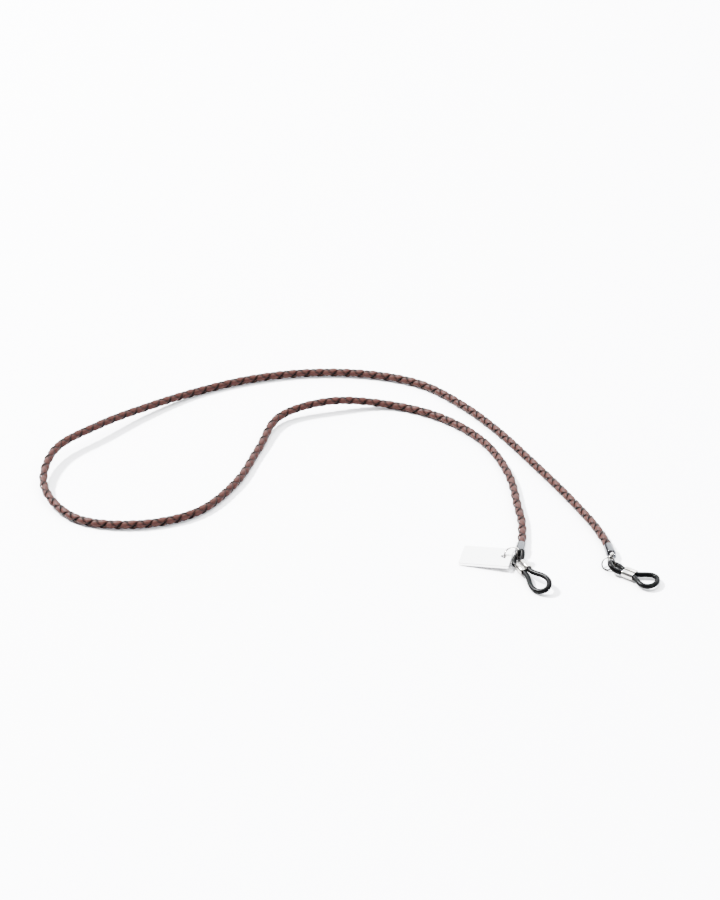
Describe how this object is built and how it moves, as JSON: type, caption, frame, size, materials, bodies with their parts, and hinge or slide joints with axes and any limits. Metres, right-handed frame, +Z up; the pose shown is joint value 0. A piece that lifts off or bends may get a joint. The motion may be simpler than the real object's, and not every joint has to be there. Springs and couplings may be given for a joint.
{
  "type": "eyeglass retainer strap",
  "caption": "Braided leather eyeglass cord with capped ends, rubber temple loops tightened by crimp sleeves, chain rings and a blank metal tag",
  "frame": {"origin": "middle of the box around the fittings without the cord, on the surface that the strap lies on", "axes": "+Z up from the table; +X from the tagged left end towards the right end; +Y from the fittings towards the cord's big loops"},
  "size_m": [0.2326, 0.1551, 0.0067],
  "materials": {
    "leather": "four-strand round braid of narrow brown leather, satin",
    "nickel": "polished nickel plate",
    "tag_metal": "bright polished metal, blank",
    "rubber": "smooth black silicone rubber, satin",
    "adhesive": "cured clear amber adhesive"
  },
  "bodies": {
    "strap": {"braided_cord": "leather", "left_end_cap": "nickel", "left_cap_adhesive": "adhesive", "right_end_cap": "nickel", "right_cap_adhesive": "adhesive"},
    "left_ring": {"left_holder_ring": "nickel"},
    "left_loop": {"left_rubber_loop": "rubber"},
    "left_sleeve": {"left_crimp_sleeve": "nickel"},
    "tag_link": {"tag_ring": "nickel"},
    "tag": {"metal_tag": "tag_metal"},
    "right_link": {"right_link_ring": "nickel"},
    "right_ring": {"right_holder_ring": "nickel"},
    "right_loop": {"right_rubber_loop": "rubber"},
    "right_sleeve": {"right_crimp_sleeve": "nickel"}
  },
  "joints": [
    {"name": "left_ring_swing", "type": "hinge", "parent": "strap", "child": "left_ring", "pos_m": [-0.01533, 0.0085, 0.00191], "axis": [-0.9397, 0.3329, 0.079], "range_deg": [0, 12]},
    {"name": "left_loop_swing", "type": "hinge", "parent": "left_ring", "child": "left_loop", "pos_m": [-0.01337, 0.00324, 0.00308], "axis": [0.1361, -0.9744, 0.1791], "range_deg": [-4, 6]},
    {"name": "left_sleeve_slide", "type": "slide", "parent": "left_loop", "child": "left_sleeve", "axis": [0.4924, -0.8704, 0], "range_m": [0, 0.0012]},
    {"name": "tag_ring_swing", "type": "hinge", "parent": "left_ring", "child": "tag_link", "pos_m": [-0.0142, 0.00478, 0.00063], "axis": [0.25, 0.967, 0.05], "range_deg": [0, 5]},
    {"name": "tag_swing", "type": "hinge", "parent": "tag_link", "child": "tag", "pos_m": [-0.01935, 0.00657, 0.00184], "axis": [-0.4811, 0.8211, 0.3071], "range_deg": [0, 7]},
    {"name": "right_link_swing", "type": "hinge", "parent": "strap", "child": "right_link", "pos_m": [0.01967, 0.00599, 0.00191], "axis": [-0.9135, 0.4068, 0], "range_deg": [0, 40]},
    {"name": "right_ring_swing", "type": "hinge", "parent": "right_link", "child": "right_ring", "pos_m": [0.01871, 0.00394, 0.00367], "axis": [-0.3831, -0.4651, -0.7981], "range_deg": [0, 30]},
    {"name": "right_loop_swing", "type": "hinge", "parent": "right_ring", "child": "right_loop", "pos_m": [0.01963, 0.00296, 0.00202], "axis": [-0.6361, -0.5221, 0.5681], "range_deg": [0, 60]},
    {"name": "right_sleeve_slide", "type": "slide", "parent": "right_loop", "child": "right_sleeve", "axis": [0.8382, -0.5443, -0.0349], "range_m": [-0.0008, 0]}
  ]
}
